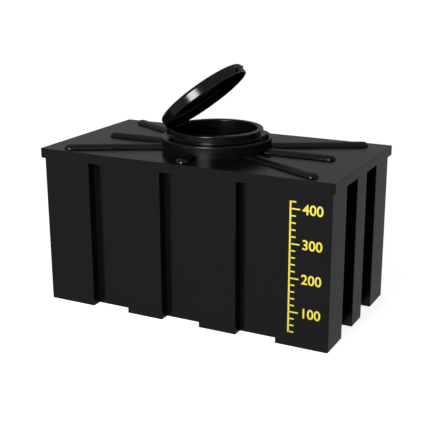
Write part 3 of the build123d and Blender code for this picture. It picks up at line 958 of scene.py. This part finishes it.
def surround_level(tree, path, mirrored, first, studio):
    """Whether the camera sees the surround, and its level for the ray that meets it.

    The camera, and a ray through anything clear, see it white. The plastic mirrors it at a level
    of its own, because the photograph's panels mirror a dim room although its background is
    white. A ray that has met a second face has a depth past first, and finds only the share
    that is passed on, because the photograph's grooves and the inside of its lid are almost black.
    """
    rays = {0: path["Is Camera Ray"], 1: path["Is Transmission Ray"]}
    seen = add_node(tree, "ShaderNodeMath", rays, operation="MAXIMUM").outputs[0]
    straight = add_node(tree, "ShaderNodeMath", {0: path["Ray Depth"], 1: first}, operation="LESS_THAN").outputs[0]
    share = add_node(tree, "ShaderNodeMapRange", {"Value": straight, "To Min": studio.passed_on, "To Max": 1.0})
    factors = {0: mirrored, 1: share.outputs["Result"]}
    level = add_node(tree, "ShaderNodeMath", factors, operation="MULTIPLY").outputs[0]
    shown = add_node(tree, "ShaderNodeMapRange", {"Value": seen, "To Min": level, "To Max": 1.0})
    return seen, shown.outputs["Result"]


def softbox_image(tree, studio):
    """1 in the directions in which the softbox stands, 0 elsewhere, with soft edges."""
    heading = add_node(tree, "ShaderNodeTexCoord").outputs["Generated"]
    centre = Vector(studio.lamp_place) - Vector((0, 0, ROOF_LEVEL))
    reach = centre.length
    ahead = centre.normalized()
    across = ahead.cross(Vector((0, 0, 1))).normalized()
    upward = across.cross(ahead)
    facing = add_node(tree, "ShaderNodeVectorMath", {0: heading, 1: ahead}, operation="DOT_PRODUCT")
    in_front = {0: facing.outputs["Value"], 1: 0.0}
    image = add_node(tree, "ShaderNodeMath", in_front, operation="GREATER_THAN").outputs[0]
    for axis, size in ((across, studio.lamp_width), (upward, studio.lamp_height)):
        off = add_node(tree, "ShaderNodeVectorMath", {0: heading, 1: axis}, operation="DOT_PRODUCT")
        off = add_node(tree, "ShaderNodeMath", {0: off.outputs["Value"]}, operation="ABSOLUTE").outputs[0]
        half, soft = size / 2 / reach, studio.lamp_soft / 2 / reach
        fade = {"Value": off, "From Min": half - soft, "From Max": half + soft, "To Min": 1.0, "To Max": 0.0}
        edge = add_node(tree, "ShaderNodeMapRange", fade, interpolation_type="SMOOTHSTEP").outputs["Result"]
        image = add_node(tree, "ShaderNodeMath", {0: edge, 1: image}, operation="MULTIPLY").outputs[0]
    return image


def make_world(context, studio):
    """Even studio walls, and the softbox as the plastic mirrors it."""
    world = bpy.data.worlds.new("studio")
    world.cycles.sampling_method = "NONE"
    context.scene.world = world
    tree = empty_tree(world)
    path = add_node(tree, "ShaderNodeLightPath").outputs
    lit = {0: softbox_image(tree, studio), 1: path["Is Glossy Ray"]}
    softbox = add_node(tree, "ShaderNodeMath", lit, operation="MULTIPLY").outputs[0]
    glow = {0: softbox, 1: studio.lamp_glow, 2: studio.room_level}
    room = add_node(tree, "ShaderNodeMath", glow, operation="MULTIPLY_ADD").outputs[0]
    level = surround_level(tree, path, room, WORLD_DEPTH, studio)[1]
    walls = add_node(tree, "ShaderNodeBackground", {"Color": (1, 1, 1, 1), "Strength": level})
    add_node(tree, "ShaderNodeOutputWorld", {"Surface": walls.outputs["Background"]})


def make_floor(context, studio):
    """Pale matt floor that shows white and keeps a soft shadow."""
    mesh = bmesh.new()
    bmesh.ops.create_circle(mesh, cap_ends=True, segments=96, radius=FLOOR_RADIUS)
    data = bpy.data.meshes.new("studio_floor")
    mesh.to_mesh(data)
    mesh.free()
    floor = bpy.data.objects.new("studio_floor", data)
    context.scene.collection.objects.link(floor)
    material = bpy.data.materials.new("matt_white_paint")
    tree = empty_tree(material)
    path = add_node(tree, "ShaderNodeLightPath").outputs
    seen, level = surround_level(tree, path, studio.floor_level, FLOOR_DEPTH, studio)
    paint = add_node(tree, "ShaderNodeBsdfDiffuse", {"Color": (0.8, 0.8, 0.8, 1)})
    lift = add_node(tree, "ShaderNodeEmission", {"Color": (1, 1, 1, 1), "Strength": studio.floor_lift})
    white = add_node(tree, "ShaderNodeAddShader", {0: paint.outputs["BSDF"], 1: lift.outputs["Emission"]})
    mirrored = add_node(tree, "ShaderNodeEmission", {"Color": (1, 1, 1, 1), "Strength": level})
    kinds = {"Fac": seen, 1: mirrored.outputs["Emission"], 2: white.outputs["Shader"]}
    both = add_node(tree, "ShaderNodeMixShader", kinds)
    add_node(tree, "ShaderNodeOutputMaterial", {"Surface": both.outputs["Shader"]})
    data.materials.append(material)


def make_lamp(context, studio):
    """Light of the softbox in front of the tank; the world holds its image for the plastic to mirror."""
    light = bpy.data.lights.new("front_softbox", "AREA")
    light.shape = "RECTANGLE"
    light.size = studio.lamp_width
    light.size_y = studio.lamp_height
    light.energy = studio.lamp_power
    lamp = bpy.data.objects.new("front_softbox", light)
    lamp.location = studio.lamp_place
    aim = Vector((0, 0, ROOF_LEVEL)) - lamp.location
    lamp.rotation_euler = aim.to_track_quat("-Z", "Y").to_euler()
    lamp.visible_camera = False
    lamp.visible_glossy = False
    context.scene.collection.objects.link(lamp)


def make_camera(context, studio):
    """Camera where the photograph was taken from."""
    data = bpy.data.cameras.new("camera")
    data.lens = studio.lens
    camera = bpy.data.objects.new("camera", data)
    heading = Matrix.Rotation(studio.yaw, 4, "Z")
    tilt = Matrix.Rotation(math.pi / 2 - studio.pitch, 4, "X")
    roll = Matrix.Rotation(studio.roll, 4, "Z")
    camera.matrix_world = Matrix.Translation(studio.camera_place) @ heading @ tilt @ roll
    context.scene.collection.objects.link(camera)
    context.scene.camera = camera


class TANK_PT_panel(bpy.types.Panel):
    """Sizes, colours and steps of the water tank"""

    bl_idname = "TANK_PT_panel"
    bl_label = "Water Tank"
    bl_space_type = "VIEW_3D"
    bl_region_type = "UI"
    bl_category = "Water Tank"

    def draw(self, context):
        for group in GROUPS:
            box = self.layout.box()
            settings = getattr(context.scene, group)
            for name in settings.__annotations__:
                box.prop(settings, name)
        for step in STEPS:
            self.layout.operator(step.bl_idname)


GROUPS = {
    "tank_sizes": TankSizes,
    "tank_lid": LidSizes,
    "tank_scale": ScaleSizes,
    "tank_finish": TankFinish,
    "tank_studio": StudioSettings,
}
STEPS = (
    TANK_OT_walls,
    TANK_OT_roof,
    TANK_OT_ribs,
    TANK_OT_turret,
    TANK_OT_lid,
    TANK_OT_fittings,
    TANK_OT_scale,
    TANK_OT_stage,
)


def register():
    """Adds the settings, the steps and the panel."""
    for name, group in GROUPS.items():
        bpy.utils.register_class(group)
        setattr(bpy.types.Scene, name, PointerProperty(type=group))
    for step in STEPS:
        bpy.utils.register_class(step)
    bpy.utils.register_class(TANK_PT_panel)


def unregister():
    """Takes out what register added."""
    bpy.utils.unregister_class(TANK_PT_panel)
    for step in reversed(STEPS):
        bpy.utils.unregister_class(step)
    for name, group in GROUPS.items():
        delattr(bpy.types.Scene, name)
        bpy.utils.unregister_class(group)


def main():
    """Builds the tank and its studio step by step."""
    register()
    bpy.ops.tank.stage()
    bpy.ops.tank.walls()
    bpy.ops.tank.roof()
    bpy.ops.tank.ribs()
    bpy.ops.tank.turret()
    bpy.ops.tank.lid()
    bpy.ops.tank.fittings()
    bpy.ops.tank.scale()


if __name__ == "__main__":
    main()
